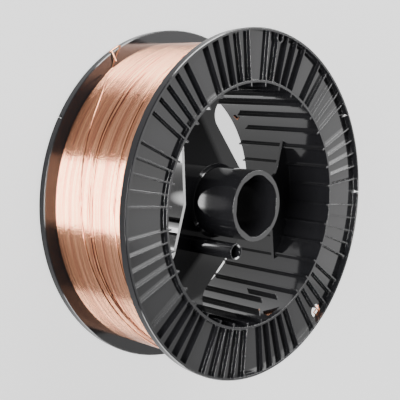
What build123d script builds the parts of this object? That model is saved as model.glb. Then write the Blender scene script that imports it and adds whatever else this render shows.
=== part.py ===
# Welding wire spool: one-piece ribbed black plastic spool with a wound body of copper-coated wire.
# The spool stands on its rear rim: its axis is vertical and the front flange faces up.
# The origin is on the spool axis in the plane of the rear rim's face.
import os
from math import cos, radians, sin

from build123d import *

os.makedirs("parts", exist_ok=True)

# Driving dimensions across the spool, mm; half widths are counted from its middle plane
WIND_HALF_WIDTH = 46.0    # middle plane to the inner face of a flange
FLOOR_T = 1.9             # thickness of the flange floor
RIB_DEPTH = 3.6           # height of the flange ribs on the floor
RIM_PROUD = 1.7           # height of the rim over the ribs

# Driving dimensions of the flanges
FLANGE_R = 150.0          # outer radius of both flanges
RIM_W = 2.4               # radial width of the rim
RIM_CHAMFER = 0.6         # chamfer along the outer edge of the rim
RIB_PITCH = 5.0           # angle between neighbouring flange ribs
RIB_SKIP = 6              # every sixth flange rib is left out
RIB_START = 3.6           # angle of the first left-out rib
RIB_T = 1.3               # thickness of a flange rib

# Driving dimensions of the drum
FLANGE_W = 43.4           # the flanges stand out over the drum by this
DRUM_WALL = 2.1           # wall of the drum
AXIAL_COUNT = 36          # ribs along the inside of the drum
AXIAL_START = -1.4        # angle of the first drum rib
AXIAL_T = 1.4             # thickness of a drum rib
AXIAL_H = 3.2             # height of a drum rib
# Drum ribs that stop short: rib number, missing length at the rear and at the front
SHORT_RIBS = (
    (4, 15.5, 0.0),
    (5, 15.5, 0.0),
    (29, 0.0, 17.5),
    (30, 0.0, 29.5),
)
EXTRA_RIB_ANGLE = 303.1   # short rib between two drum ribs
EXTRA_RIB_ENDS = (-1.0, 34.0)

# Driving dimensions of the hub and the driving tube
HUB_BORE_R = 25.5         # round land in the middle of the bore
BORE_LAND = 10.0          # length of the round land
BORE_RELIEF = 1.1         # the bore is wider by this outside the land, apart from its flats
BORE_FLAT_RELIEF = 0.2    # the six flats stand back by this from the land
HUB_WALL = 5.0            # wall of the hub tube
HUB_ROOT = 2.5            # slope between the hub tube and the web
PIN_R = 44.5              # distance of the driving hole from the axis
PIN_ANGLE = 238.6         # angle of the driving hole
PIN_HOLE_R = 5.25         # radius of the driving hole
PIN_WALL = 1.65           # wall of the tube around the driving hole
PIN_MOUTH = 1.0           # the driving hole opens out by this at both ends

# Driving dimensions of the middle web
WEB_T = 3.0               # thickness of the web
WEB_SHIFT = 2.5           # offset of the web from the middle plane towards the front
WEB_COLLAR = 3.0          # narrowest ring of web around the hub tube
WEB_CORNER_R = 14.0       # corners of the web windows
WINDOW_TOP_SIDE = 41.0    # axis to the long edge of the upper right window
WINDOW_LOW_SIDE = 48.5    # axis to the long edge of the lower right window
WINDOW_LEFT_UP = 37.8     # axis to the upper edge of the left window
WINDOW_LEFT_DOWN = 36.0   # axis to the lower edge of the left window
ARM_HALF_W = 22.0         # half width of the right arm
FLARE_TOP = 42.9          # flare of the upper arm into the drum
FLARE_LOW = 56.3          # flare of the lower arm into the drum
FLARE_LEFT = 64.0         # flares at the left window
FLARE_RIGHT = 75.4        # flares of the right arm
# Edges of each window: direction of the edge's normal, and its distance from the axis
WINDOWS = (
    ((41.3, WINDOW_TOP_SIDE), (86.6, ARM_HALF_W), (-27.0, -FLARE_TOP), (167.6, -FLARE_RIGHT)),
    ((186.8, WINDOW_LEFT_UP), (166.7, WINDOW_LEFT_DOWN), (277.2, -FLARE_LEFT), (80.0, -FLARE_LEFT)),
    ((316.5, WINDOW_LOW_SIDE), (270.6, ARM_HALF_W), (31.0, -FLARE_LOW), (189.6, -FLARE_RIGHT)),
)

# Keyholes in the rims for the wire ends
FRONT_KEYHOLES = (3.6, 33.6)
REAR_KEYHOLES = (124.2, 153.6)
SLIT_W = 0.9              # width of the slit from the keyhole to the rim's face
KEYHOLE_R = 1.5           # radius of the keyhole

# Fork of one front rib, round cut in the front floor and cut in the drum wall
FORK_ANGLE = 82.8         # middle of the fork
FORK_INSET = 5.7          # distance of its round end from the flange's edge
FORK_IN_R = 2.9           # inside of the fork
CUT_ANGLE = 313.9         # middle of the round cut in the front floor
CUT_OFFSET = 4.8          # its middle lies this far outside the wound wire
CUT_HOLE_R = 6.2          # its radius
WEDGE_ANGLE = 291.5       # middle of the cut in the drum wall
# Corners of the cut in the drum wall: sideways and depth from the front flange
WEDGE = ((-2.6, 10.3), (3.7, 4.6), (9.2, 0.0), (-7.6, 0.0), (-6.8, 5.7))

# Driving dimensions of the wire
WIRE_EDGE = 12.0          # the flanges stand out over the wound wire by this
WIRE_T = 1.2              # thickness of one wire
WIRE_GAP = 0.1            # free wire ends stay clear of the plastic by this
# Outer end, on its way from the wound wire: angle and distance outside the wound wire
OUTER_END_RUN = ((132.0, 0.0), (127.6, 0.4), (125.2, 5.5))
OUTER_END_LEAVES = 120.8  # angle at which it passes out over the rear flange's edge
OUTER_END_RETURNS = 124.9 # angle at which it comes back in
OUTER_END_DROP = 2.8      # depth of its run along the outside of the rim
OUTER_END_TIP = (125.5, 3.9, 2.0)
INNER_END_ANGLE = 46.6    # hole in the drum wall for the inner wire end
INNER_END_GAP = 2.0       # distance of the hole from the rear flange
INNER_END_HOLE_R = 1.1    # its radius
# Hook of the inner end: angle and height from the hole
INNER_END_HOOK = ((0.0, 0.0), (-2.3, 2.0), (-0.4, 5.4))
LOOP_EDGE = 1.0           # distance of the front end's upright run from the edge of the round cut
# Loop of the front end: outwards and sideways from the middle of the round cut
LOOP = ((-2.6, 4.2), (3.0, 3.4), (3.6, -2.8), (-2.4, -4.0), (-2.0, 1.6), (1.2, 1.4))

# Helpers of the construction
OVERLAP = 0.3             # joined bodies run this far into each other
CUT = 5.0                 # cutting bodies stand out this far

hub_half = WIND_HALF_WIDTH + FLOOR_T + RIB_DEPTH
rim_half = hub_half + RIM_PROUD
floor_top = WIND_HALF_WIDTH + FLOOR_T
drum_r = FLANGE_R - FLANGE_W
drum_in = drum_r - DRUM_WALL
hub_r = HUB_BORE_R + HUB_WALL
rim_in = FLANGE_R - RIM_W
wind_r = FLANGE_R - WIRE_EDGE
fork_r = FLANGE_R - FORK_INSET
fork_out_r = FORK_IN_R + RIB_T
cut_r = wind_r + CUT_OFFSET


def at(angle, distance, height):
    """A point given by its angle and distance around the axis and its height over the middle plane."""
    return Vector(distance * cos(radians(angle)), distance * sin(radians(angle)), height)


def window_plan(edges):
    """Plan of one web window: straight edges with round corners inside the drum."""
    plan = Circle(drum_r + CUT) - Circle(hub_r + WEB_COLLAR)
    for angle, distance in edges:
        span = 4 * drum_r
        keep = Rot(Z=angle) * Pos(distance + span / 2, 0) * Rectangle(span, span)
        plan = plan & keep
    outline = plan.faces().sort_by(SortBy.AREA)[-1]
    shrunk = offset(outline, -WEB_CORNER_R)
    return offset(shrunk, WEB_CORNER_R, kind=Kind.ARC) & Circle(drum_in)


def keyhole_cutter(angle):
    """Round hole through the front rim with a slit from it to the rim's face."""
    low = floor_top + KEYHOLE_R - OVERLAP
    hole = Pos(FLANGE_R, 0, low) * Rot(Y=90) * Cylinder(KEYHOLE_R, 2 * CUT)
    slit = Pos(FLANGE_R, 0, low + CUT) * Box(2 * CUT, SLIT_W, 2 * CUT)
    return Rot(Z=angle) * (hole + slit)


def axial_rib(angle, low, high):
    """A rib along the inside of the drum from a lowest to a highest end."""
    bar = Box(AXIAL_H + OVERLAP, AXIAL_T, high - low)
    return Rot(Z=angle) * Pos(drum_in - AXIAL_H / 2 + OVERLAP / 2, 0, (low + high) / 2) * bar


def bent_wire(points):
    """A thin eight-sided wire along straight runs between these points."""
    section = Plane(points[0], z_dir=points[1] - points[0]) * RegularPolygon(WIRE_T / 2, 8)
    return sweep(section, Polyline(*points), transition=Transition.RIGHT)


# Middle web with three windows
web_plan = Circle(drum_in + DRUM_WALL / 2) - Circle(HUB_BORE_R + HUB_WALL / 2)
for edges in WINDOWS:
    web_plan = web_plan - window_plan(edges)
web = Pos(0, 0, WEB_SHIFT) * extrude(web_plan, WEB_T / 2, both=True)
root = Pos(0, 0, WEB_T / 2 + HUB_ROOT / 2) * Cone(hub_r + HUB_ROOT, hub_r, HUB_ROOT)
roots = Pos(0, 0, WEB_SHIFT) * (root + mirror(root, Plane.XY))

# Flange: floor, ribs, mouth ring of the drum and rim
rib_numbers = [k for k in range(round(360 / RIB_PITCH)) if k % RIB_SKIP]
rib_in = drum_in + DRUM_WALL / 2
rib_out = FLANGE_R - RIM_W / 2
rib_bar = Pos((rib_in + rib_out) / 2, 0) * Rectangle(rib_out - rib_in, RIB_T)
ribs_plan = Sketch() + [Rot(Z=RIB_START + RIB_PITCH * k) * rib_bar for k in rib_numbers]
ribs = Pos(0, 0, floor_top - OVERLAP) * extrude(ribs_plan, RIB_DEPTH + OVERLAP)
floor_plan = Circle(FLANGE_R - RIM_W / 2) - Circle(rib_in)
floor_body = Pos(0, 0, WIND_HALF_WIDTH) * extrude(floor_plan, FLOOR_T)
rim_h = rim_half - WIND_HALF_WIDTH
rim_section = Pos(FLANGE_R - RIM_W / 2, WIND_HALF_WIDTH + rim_h / 2) * Rectangle(RIM_W, rim_h)
rim_section = chamfer(rim_section.vertices().group_by(Axis.X)[-1], RIM_CHAMFER)
rim_body = revolve(Plane.XZ * rim_section, Axis.Z)
rear_flange = mirror(ribs + floor_body + rim_body, Plane.XY)
rear_flange = rear_flange - [mirror(keyhole_cutter(angle), Plane.XY) for angle in REAR_KEYHOLES]

# The front flange has a forked rib and a round cut beside its rim
fork_reach = Pos(FLANGE_R - fork_r - RIM_W / 2, 0)
fork_out = Circle(fork_out_r) + fork_reach * Rectangle(2 * (FLANGE_R - fork_r) - RIM_W, 2 * fork_out_r)
fork_in = Circle(FORK_IN_R) + fork_reach * Rectangle(2 * (FLANGE_R - fork_r) - RIM_W, 2 * FORK_IN_R)
fork_place = Rot(Z=FORK_ANGLE) * Pos(fork_r, 0)
fork_limit = Circle(rib_out)
front_plan = ribs_plan + (fork_place * fork_out & fork_limit) - (fork_place * fork_in & fork_limit)
cut_plan = Rot(Z=CUT_ANGLE) * Pos(cut_r, 0) * Circle(CUT_HOLE_R) & Circle(rim_in)
cut_body = Pos(0, 0, WIND_HALF_WIDTH - CUT) * extrude(cut_plan, rim_half - WIND_HALF_WIDTH + CUT)
front_ribs = Pos(0, 0, floor_top - OVERLAP) * extrude(front_plan, RIB_DEPTH + OVERLAP)
front_flange = front_ribs + floor_body - cut_body + rim_body
front_flange = front_flange - [keyhole_cutter(angle) for angle in FRONT_KEYHOLES]

# Drum with its inner ribs and the cut in its wall
short_numbers = [number for number, rear, front in SHORT_RIBS]
long_angles = [
    AXIAL_START + 360 / AXIAL_COUNT * k for k in range(AXIAL_COUNT) if k not in short_numbers
]
axial_bar = Pos(drum_in - AXIAL_H / 2 + OVERLAP / 2, 0) * Rectangle(AXIAL_H + OVERLAP, AXIAL_T)
axial_plan = Sketch() + [Rot(Z=angle) * axial_bar for angle in long_angles]
drum = extrude(Circle(drum_r) - Circle(drum_in) + axial_plan, hub_half, both=True)
for number, rear, front in SHORT_RIBS:
    rib_angle = AXIAL_START + 360 / AXIAL_COUNT * number
    drum = drum + axial_rib(rib_angle, rear - hub_half, hub_half - front)
drum = drum + axial_rib(EXTRA_RIB_ANGLE, *EXTRA_RIB_ENDS)
wedge_plane = Plane(
    at(WEDGE_ANGLE, drum_in, 0),
    x_dir=at(WEDGE_ANGLE + 90, 1, 0),
    z_dir=at(WEDGE_ANGLE, 1, 0),
)
wedge_points = [(side, WIND_HALF_WIDTH - depth) for side, depth in WEDGE]
drum = drum - extrude(wedge_plane * Polygon(*wedge_points, align=None), CUT, both=True)
inner_end_height = INNER_END_GAP - WIND_HALF_WIDTH
inner_hole = Rot(Z=INNER_END_ANGLE) * Pos(drum_r, 0, inner_end_height) * Rot(Y=90)
drum = drum - inner_hole * Cylinder(INNER_END_HOLE_R, 2 * CUT)

# Hub tube with a round land and six flats in its bore
relief_r = HUB_BORE_R + BORE_RELIEF
bore_plan = Circle(relief_r)
for k in range(6):
    behind = HUB_BORE_R + BORE_FLAT_RELIEF + CUT
    bore_plan = bore_plan - Rot(Z=AXIAL_START + 60 * k) * Pos(behind, 0) * Rectangle(2 * CUT, 2 * relief_r)
bore = extrude(bore_plan, 2 * rim_half, both=True)
land = Cylinder(hub_r - OVERLAP, BORE_LAND) - Cylinder(HUB_BORE_R, 2 * BORE_LAND)
hub = Cylinder(hub_r, 2 * hub_half)

# Tube around the driving hole, which opens out at both ends
pin_place = Pos(at(PIN_ANGLE, PIN_R, 0))
pin_tube = pin_place * Cylinder(PIN_HOLE_R + PIN_WALL, 2 * hub_half)
mouth = Pos(0, 0, hub_half - PIN_MOUTH / 2) * Cone(PIN_HOLE_R, PIN_HOLE_R + PIN_MOUTH, PIN_MOUTH)
pin_hole = pin_place * (Cylinder(PIN_HOLE_R, 2 * rim_half) + mouth + mirror(mouth, Plane.XY))

spool = drum + web + roots + hub + pin_tube + front_flange + rear_flange
spool = spool - bore + land
spool = spool - pin_hole

# Wound wire, one turned body on the drum between the flanges
winding = Cylinder(wind_r, 2 * WIND_HALF_WIDTH) - Cylinder(drum_r, 2 * WIND_HALF_WIDTH + CUT)

# Outer end of the wire: up the rear flange, out over its edge, along the rim and back in
half_wire = WIRE_T / 2 + WIRE_GAP
run_r = wind_r + half_wire
outside = FLANGE_R + half_wire
face = half_wire - WIND_HALF_WIDTH
beside = face - OUTER_END_DROP
tip_angle, tip_out, tip_up = OUTER_END_TIP
outer_end = bent_wire(
    [at(angle, run_r + out, face) for angle, out in OUTER_END_RUN]
    + [at(OUTER_END_LEAVES, outside, height) for height in (face, beside)]
    + [at(OUTER_END_RETURNS, outside, height) for height in (beside, face)]
    + [at(tip_angle, run_r + tip_out, face + tip_up)]
)

# Inner end of the wire: through the drum wall and bent to a hook on its inside
hook_r = drum_in - half_wire
inner_end = bent_wire(
    [at(INNER_END_ANGLE, drum_r, inner_end_height)]
    + [at(INNER_END_ANGLE + turn, hook_r, inner_end_height + rise) for turn, rise in INNER_END_HOOK]
)

# Wire end that comes out of the round cut in the front floor and lies over it as a loop
out_dir = at(CUT_ANGLE, 1, 0)
side_dir = at(CUT_ANGLE + 90, 1, 0)
loop_height = floor_top + WIRE_T
loop_middle = at(CUT_ANGLE, cut_r, loop_height)
front_end = bent_wire(
    [at(CUT_ANGLE, cut_r - CUT_HOLE_R + LOOP_EDGE, height) for height in (WIND_HALF_WIDTH, loop_height)]
    + [loop_middle + out_dir * out + side_dir * side for out, side in LOOP]
)

stand = Pos(0, 0, rim_half)
export_step(stand * spool, "parts/spool.step")
export_step(stand * winding, "parts/wire_winding.step")
export_step(stand * outer_end, "parts/wire_outer_end.step")
export_step(stand * inner_end, "parts/wire_inner_end.step")
export_step(stand * front_end, "parts/wire_front_end.step")
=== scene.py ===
"""Looks of the welding wire spool: turns, materials, floor, studio light and camera. Lengths are in metres."""
import math
import random

import bpy
from mathutils import Matrix, Vector


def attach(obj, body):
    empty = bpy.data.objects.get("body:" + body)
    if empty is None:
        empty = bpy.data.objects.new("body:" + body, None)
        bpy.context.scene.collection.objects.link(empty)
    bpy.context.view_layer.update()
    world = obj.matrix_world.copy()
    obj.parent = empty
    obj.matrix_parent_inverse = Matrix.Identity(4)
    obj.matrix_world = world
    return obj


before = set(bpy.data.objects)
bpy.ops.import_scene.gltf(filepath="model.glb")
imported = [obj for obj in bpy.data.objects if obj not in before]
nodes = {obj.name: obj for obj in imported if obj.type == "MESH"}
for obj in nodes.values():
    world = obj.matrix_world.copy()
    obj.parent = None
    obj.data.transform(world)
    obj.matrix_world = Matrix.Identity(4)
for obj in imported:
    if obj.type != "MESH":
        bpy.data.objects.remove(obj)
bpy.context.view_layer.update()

# The photograph's camera
CAMERA_POS = Vector((-0.58782, 0.07147, 0.59977))
CAMERA_RIGHT = Vector((0.69377, 0.05311, 0.71824))
CAMERA_UP = Vector((0.02770, 0.99457, -0.10030))
FOCAL_PX = 904.35
FRAME_PX = 400
SENSOR_MM = 36.0

# Black plastic
PLASTIC_COLOR = (0.0025, 0.0025, 0.0028)
PLASTIC_ROUGHNESS = 0.1
WAVES_PER_M = 45.0
WAVES_STRENGTH = 0.05
WAVES_HEIGHT = 0.0006
EDGE_ROUNDING = 0.0004
FULL_GLOSS = 0.5
PAINTED_SHADE_GLOSS = 0.12         # painted shade on the rims' outside and the slope at the hub, as lowered gloss
EDGE_R = 0.14993          # outside of both rims
ROOT_R = 0.0322           # slope between the hub tube and the web
ROOT_HALF = 0.0012

# Painted shade on the middle web: its gloss is lowered so that it looks darker than the rest, with a painted
# highlight on one side of two arms
WEB_Z = 0.0557            # middle of the web
WEB_REACH = 0.002         # a little over half its thickness
WEB_FLATNESS = 0.1        # how far the normals of its faces may be from the spool's axis
WEB_PAINTED_HIGHLIGHT_SIDES = (36, 315)     # directions of the arms' painted highlights, their lighter sides
WEB_SIDE_FROM = 0.02      # the painted highlight fades in between these distances from the axis
WEB_SIDE_TO = 0.026
# painted shade on the web and painted highlight on the lighter sides of two arms, as gloss levels
WEB_PAINTED_SHADE_GLOSS = 0.03
WEB_PAINTED_HIGHLIGHT_GLOSS = 0.2

# Copper-coated wire
COPPER_COLOR = (0.42, 0.21, 0.125)
COPPER_ROUGHNESS = 0.15
TONES_PER_M = (5, 5, 500)  # tone changes across the spool and along its axis
DARK_TONE = (0.3, 0.118, 0.07, 1)
LIGHT_TONE = (0.44, 0.215, 0.125, 1)
TONE_RANGE = (0.35, 0.6)

# The wound wire
MIDDLE_Z = 0.0532         # middle plane of the spool
WIND_HALF = 0.046         # half width of the winding
WIND_R = 0.138            # outside of the CAD winding
WIRE_R = 0.0006           # radius of the wire
TURNS = 76                # turns side by side in the outer layer
TURN_STEPS = 6            # faces across one turn
TURN_LIFT = 0.08          # unevenness of the turns, in wire radii
TURN_SEED = 5
AROUND = 144              # faces around the winding

# Strands that cross the outer layer: angle around the axis and distance from the middle plane in mm
STRANDS = (
    ((131.6, -45.2), (134, -37.5), (141, -29), (152, -23), (168, -16.5), (184, -12), (198, -9.5),
     (212, -5), (223, -1), (235, 4.5), (255, 10)),
    ((120, -5), (142, -4.2), (160, -4.6), (172, -3.2), (184, -2.3), (200, -1.7), (209, 1.3), (220, 7),
     (231, 13), (250, 22)),
    ((130, 1), (147, 0), (160, -2), (175, 0.5), (193, 1.3), (209, 4), (220, 9.5), (231, 15.5), (250, 24)),
    ((112, 21), (135, 23.5), (147, 25), (164, 25.8), (182, 27.7), (202, 30.3), (230, 36)),
)
STRAND_STEP = 1.5         # degrees between two rings of points
STRAND_SIDES = 8
STRAND_LIFT = 1.35        # height of its middle over the CAD winding, in wire radii
STRAND_SINK = 1.2         # depth to which its far end sinks, in wire radii
STRAND_SINK_ANGLE = 12    # degrees over which it sinks
STRAND_SOFTENING = (-6, -3, 0, 3, 6)
MM = 0.001

# Floor, with a painted pool of light: a brighter glowing spot below the left window
FLOOR_SIZE = 30
FLOOR_COLOR = (0.06, 0.06, 0.06)
FLOOR_ROUGHNESS = 0.9
FLOOR_GLOW = 1.4
SPOT_GLOW = 14.0
SPOT_PLACE = (-0.1, 0, 0)
SPOT_FROM = 0.026
SPOT_TO = 0.042

# Studio: light near the horizon and dark above it
SKY_LOW_GLOW = 1.2
SKY_HIGH_GLOW = 0.12
SKY_FROM = 0.16
SKY_TO = 0.3
WHITE = (1, 1, 1, 1)

# Soft lights: azimuths and elevations of their edges in degrees, distance and radiance
SOFTBOXES = (
    ("front_box", (-14, 16), (24, 62), 1.6, 2.0),
    ("front_low_box", (-32, -14), (24, 62), 1.6, 1.1),
    ("upper_box", (28, 101), (12, 55), 2.6, 26.0),
    ("left_box", (159, 201), (10, 33), 2.6, 90.0),
    ("low_box", (244, 318), (10, 33), 2.6, 14.0),
)


def principled(name, color, metallic, roughness):
    """A new node material with one Principled shader, given back with its node tree."""
    mat = bpy.data.materials.new(name)
    mat.use_nodes = True
    shader = mat.node_tree.nodes["Principled BSDF"]
    shader.inputs["Base Color"].default_value = (*color, 1)
    shader.inputs["Metallic"].default_value = metallic
    shader.inputs["Roughness"].default_value = roughness
    mat.diffuse_color = (*color, 1)
    return mat, mat.node_tree, shader


def add(tree, kind, **sockets):
    """A new shader node with some of its sockets set."""
    node = tree.nodes.new(kind)
    for key, value in sockets.items():
        node.inputs[key.replace("_", " ")].default_value = value
    return node


def math_node(tree, operation, first, second=0.0, third=0.0):
    """A new Math node; each operand is a number or another node's output. Gives back its output."""
    node = tree.nodes.new("ShaderNodeMath")
    node.operation = operation
    for socket, value in zip(node.inputs, (first, second, third)):
        if isinstance(value, (int, float)):
            socket.default_value = value
        else:
            tree.links.new(value, socket)
    return node.outputs[0]


def painted_web_shade_and_highlight(tree, x, y, z, normal_z):
    """Painted shade and painted highlight on the flat faces of the web: their gloss is lowered, less so on one
    side of two arms, which look lighter.
    """
    level = math_node(tree, "COMPARE", z, WEB_Z, WEB_REACH)
    flat = math_node(tree, "COMPARE", math_node(tree, "ABSOLUTE", normal_z), 1.0, WEB_FLATNESS)
    on_web = math_node(tree, "MULTIPLY", level, flat)
    reach = None
    for degrees in WEB_PAINTED_HIGHLIGHT_SIDES:
        part = math_node(tree, "MULTIPLY", x, math.cos(math.radians(degrees)))
        side = math_node(tree, "MULTIPLY_ADD", y, math.sin(math.radians(degrees)), part)
        reach = side if reach is None else math_node(tree, "MAXIMUM", reach, side)
    gloss = add(tree, "ShaderNodeMapRange", From_Min=WEB_SIDE_FROM, From_Max=WEB_SIDE_TO,
                To_Min=WEB_PAINTED_SHADE_GLOSS, To_Max=WEB_PAINTED_HIGHLIGHT_GLOSS)
    tree.links.new(reach, gloss.inputs["Value"])
    change = math_node(tree, "SUBTRACT", gloss.outputs["Result"], FULL_GLOSS)
    return math_node(tree, "MULTIPLY", on_web, change)


def painted_rim_and_root_shade(tree, x, y):
    """Painted shade on the outside of the rims and on the slope at the foot of the hub: their gloss is
    lowered.
    """
    square = math_node(tree, "MULTIPLY_ADD", x, x, math_node(tree, "MULTIPLY", y, y))
    radius = math_node(tree, "SQRT", square)
    on_edge = math_node(tree, "GREATER_THAN", radius, EDGE_R)
    on_root = math_node(tree, "COMPARE", radius, ROOT_R, ROOT_HALF)
    return math_node(tree, "MULTIPLY", math_node(tree, "MAXIMUM", on_edge, on_root), PAINTED_SHADE_GLOSS - FULL_GLOSS)


def black_plastic():
    """Glossy black plastic with a very slight waviness; painted shade lowers its gloss on the web, the outside
    of the rims and the slope at the hub, with a painted highlight on one side of two web arms.
    """
    mat, tree, shader = principled("glossy_black_plastic", PLASTIC_COLOR, 0.0, PLASTIC_ROUGHNESS)
    coords = tree.nodes.new("ShaderNodeTexCoord")
    noise = add(tree, "ShaderNodeTexNoise", Scale=WAVES_PER_M, Detail=2.0)
    bump = add(tree, "ShaderNodeBump", Strength=WAVES_STRENGTH, Distance=WAVES_HEIGHT)
    edges = add(tree, "ShaderNodeBevel", Radius=EDGE_ROUNDING)
    tree.links.new(coords.outputs["Object"], noise.inputs["Vector"])
    tree.links.new(noise.outputs["Fac"], bump.inputs["Height"])
    tree.links.new(edges.outputs["Normal"], bump.inputs["Normal"])
    tree.links.new(bump.outputs["Normal"], shader.inputs["Normal"])
    place = tree.nodes.new("ShaderNodeSeparateXYZ")
    tree.links.new(coords.outputs["Object"], place.inputs["Vector"])
    facing = tree.nodes.new("ShaderNodeSeparateXYZ")
    tree.links.new(coords.outputs["Normal"], facing.inputs["Vector"])
    x, y, z = place.outputs
    # painted shade and painted highlight on the web, as a change of gloss
    on_web = painted_web_shade_and_highlight(tree, x, y, z, facing.outputs["Z"])
    # painted shade on the outside of the rims and on the slope at the hub, as lowered gloss
    elsewhere = painted_rim_and_root_shade(tree, x, y)
    gloss = math_node(tree, "ADD", math_node(tree, "MINIMUM", on_web, elsewhere), FULL_GLOSS)
    tree.links.new(gloss, shader.inputs["Specular IOR Level"])
    return mat


def copper_wire():
    """Copper-coated wire; the tone changes a little from turn to turn."""
    mat, tree, shader = principled("wound_copper_wire", COPPER_COLOR, 1.0, COPPER_ROUGHNESS)
    coords = tree.nodes.new("ShaderNodeTexCoord")
    stretch = tree.nodes.new("ShaderNodeVectorMath")
    stretch.operation = "MULTIPLY"
    stretch.inputs[1].default_value = TONES_PER_M
    tree.links.new(coords.outputs["Object"], stretch.inputs[0])
    noise = add(tree, "ShaderNodeTexNoise", Scale=1.0, Detail=3.0)
    tree.links.new(stretch.outputs["Vector"], noise.inputs["Vector"])
    ramp = tree.nodes.new("ShaderNodeValToRGB")
    for element, position, tone in zip(ramp.color_ramp.elements, TONE_RANGE, (DARK_TONE, LIGHT_TONE)):
        element.position = position
        element.color = tone
    tree.links.new(noise.outputs["Fac"], ramp.inputs["Fac"])
    tree.links.new(ramp.outputs["Color"], shader.inputs["Base Color"])
    return mat


def paint(node, mat):
    """Gives every material slot of a CAD node this material."""
    slots = nodes[node].material_slots
    for one in slots:
        one.material = mat
    if not slots:
        nodes[node].data.materials.append(mat)


def wire_piece(name, points, faces, mat):
    """A smooth mesh of wire that rides on the spool."""
    mesh = bpy.data.meshes.new(name)
    mesh.from_pydata(points, [], faces)
    mesh.polygons.foreach_set("use_smooth", [True] * len(mesh.polygons))
    mesh.materials.append(mat)
    piece = bpy.data.objects.new(name, mesh)
    bpy.context.collection.objects.link(piece)
    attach(piece, "root")
    return piece


def ring_faces(rings, columns):
    """Quads between rings of points, each closed into itself."""
    faces = []
    for ring in range(rings - 1):
        low = ring * columns
        high = low + columns
        for k in range(columns):
            after = (k + 1) % columns
            faces.append((low + k, low + after, high + after, high + k))
    return faces


def wound_turns(mat):
    """The outer layer of turns as round ridges around the winding."""
    rng = random.Random(TURN_SEED)
    pitch = 2 * WIND_HALF / TURNS
    profile = []
    for turn in range(TURNS):
        lift = rng.uniform(-TURN_LIFT, TURN_LIFT) * WIRE_R
        for step in range(TURN_STEPS):
            tilt = math.pi * (step / TURN_STEPS - 0.5)
            height = math.cos(tilt) * WIRE_R + (lift if step else 0)
            profile.append((WIND_R + height, -WIND_HALF + (turn + 0.5 + 0.5 * math.sin(tilt)) * pitch))
    profile.append((WIND_R, WIND_HALF))
    points = []
    for radius, height in profile:
        for k in range(AROUND):
            angle = 2 * math.pi * k / AROUND
            points.append((radius * math.cos(angle), radius * math.sin(angle), MIDDLE_Z + height))
    return wire_piece("wound_turns", points, ring_faces(len(profile), AROUND), mat)


def strand_height(path, angle):
    """Height of a strand over the middle plane at an angle, with soft changes of direction."""
    total = 0
    for shift in STRAND_SOFTENING:
        at = min(max(angle + shift, path[0][0]), path[-1][0])
        for (a0, h0), (a1, h1) in zip(path, path[1:]):
            if a0 <= at <= a1:
                total += h0 + (h1 - h0) * (at - a0) / (a1 - a0)
                break
    return total / len(STRAND_SOFTENING) * MM


def strand(name, path, mat):
    """One wire that lies half in the outer layer and sinks into it at its far end."""
    first, last = path[0][0], path[-1][0]
    count = int((last - first) / STRAND_STEP)
    points = []
    for k in range(count + 1):
        degrees = first + (last - first) * k / count
        angle = math.radians(degrees)
        sunk = max(0, 1 - (last - degrees) / STRAND_SINK_ANGLE) * STRAND_SINK * WIRE_R
        middle_r = WIND_R + STRAND_LIFT * WIRE_R - sunk
        middle_z = MIDDLE_Z + strand_height(path, degrees)
        for side in range(STRAND_SIDES):
            turn = 2 * math.pi * side / STRAND_SIDES
            radius = middle_r + WIRE_R * math.cos(turn)
            height = middle_z + WIRE_R * math.sin(turn)
            points.append((radius * math.cos(angle), radius * math.sin(angle), height))
    return wire_piece(name, points, ring_faces(count + 1, STRAND_SIDES), mat)


def make_floor():
    """Pale floor that glows a little, with a painted pool of light: a brighter glowing spot."""
    bpy.ops.mesh.primitive_plane_add(size=FLOOR_SIZE, location=(0, 0, 0))
    floor = bpy.context.object
    floor.name = "floor"
    mat, tree, shader = principled("pale_floor", FLOOR_COLOR, 0.0, FLOOR_ROUGHNESS)
    shader.inputs["Emission Color"].default_value = WHITE
    coords = tree.nodes.new("ShaderNodeTexCoord")
    away = tree.nodes.new("ShaderNodeVectorMath")
    away.operation = "DISTANCE"
    away.inputs[1].default_value = SPOT_PLACE
    glow = add(tree, "ShaderNodeMapRange", From_Min=SPOT_FROM, From_Max=SPOT_TO,
               To_Min=SPOT_GLOW, To_Max=FLOOR_GLOW)
    tree.links.new(coords.outputs["Object"], away.inputs[0])
    tree.links.new(away.outputs["Value"], glow.inputs["Value"])
    tree.links.new(glow.outputs["Result"], shader.inputs["Emission Strength"])
    floor.data.materials.append(mat)


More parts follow.
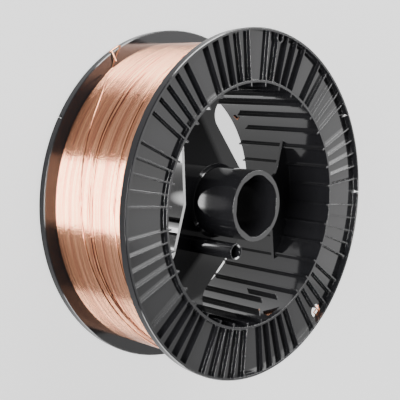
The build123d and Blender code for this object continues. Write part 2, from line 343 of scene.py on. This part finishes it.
def make_studio():
    """World light that falls off above the horizon."""
    world = bpy.data.worlds.new("studio")
    bpy.context.scene.world = world
    world.use_nodes = True
    tree = world.node_tree
    coords = tree.nodes.new("ShaderNodeTexCoord")
    direction = tree.nodes.new("ShaderNodeSeparateXYZ")
    glow = add(tree, "ShaderNodeMapRange", From_Min=SKY_FROM, From_Max=SKY_TO,
               To_Min=SKY_LOW_GLOW, To_Max=SKY_HIGH_GLOW)
    tree.links.new(coords.outputs["Generated"], direction.inputs["Vector"])
    tree.links.new(direction.outputs["Z"], glow.inputs["Value"])
    tree.links.new(glow.outputs["Result"], tree.nodes["Background"].inputs["Strength"])
    tree.nodes["Background"].inputs["Color"].default_value = WHITE


def softbox(name, azimuths, elevations, distance, radiance):
    """An upright rectangular light that faces the axis, between two azimuths and two elevations in degrees."""
    low, high = (distance * math.tan(math.radians(degrees)) for degrees in elevations)
    half = math.radians(azimuths[1] - azimuths[0]) / 2
    middle = math.radians(azimuths[0] + azimuths[1]) / 2
    light = bpy.data.lights.new(name, "AREA")
    light.shape = "RECTANGLE"
    light.size = 2 * distance * math.tan(half)
    light.size_y = high - low
    light.energy = radiance * math.pi * light.size * light.size_y
    lamp = bpy.data.objects.new(name, light)
    bpy.context.collection.objects.link(lamp)
    toward = Vector((math.cos(middle), math.sin(middle), 0))
    sideways = Vector((-math.sin(middle), math.cos(middle), 0))
    turn = Matrix((sideways, toward.cross(sideways), toward)).transposed()
    place = toward * distance + Vector((0, 0, (low + high) / 2))
    lamp.matrix_world = Matrix.Translation(place) @ turn.to_4x4()


def make_camera():
    """The camera that sees the spool as the photograph does."""
    camera = bpy.data.objects.new("camera", bpy.data.cameras.new("camera"))
    bpy.context.collection.objects.link(camera)
    back = CAMERA_RIGHT.cross(CAMERA_UP)
    turn = Matrix((CAMERA_RIGHT, CAMERA_UP, back)).transposed()
    camera.matrix_world = Matrix.Translation(CAMERA_POS) @ turn.to_4x4()
    camera.data.sensor_width = SENSOR_MM
    camera.data.lens = SENSOR_MM * FOCAL_PX / FRAME_PX
    camera.data.clip_start = 0.01
    return camera


plastic = black_plastic()
copper = copper_wire()
paint("spool", plastic)
for node in ("wire_winding", "wire_outer_end", "wire_inner_end", "wire_front_end"):
    paint(node, copper)
wound_turns(copper)
for number, path in enumerate(STRANDS, start=1):
    strand("strand_%d" % number, path, copper)
make_floor()
make_studio()
for box in SOFTBOXES:
    softbox(*box)
bpy.context.scene.camera = make_camera()
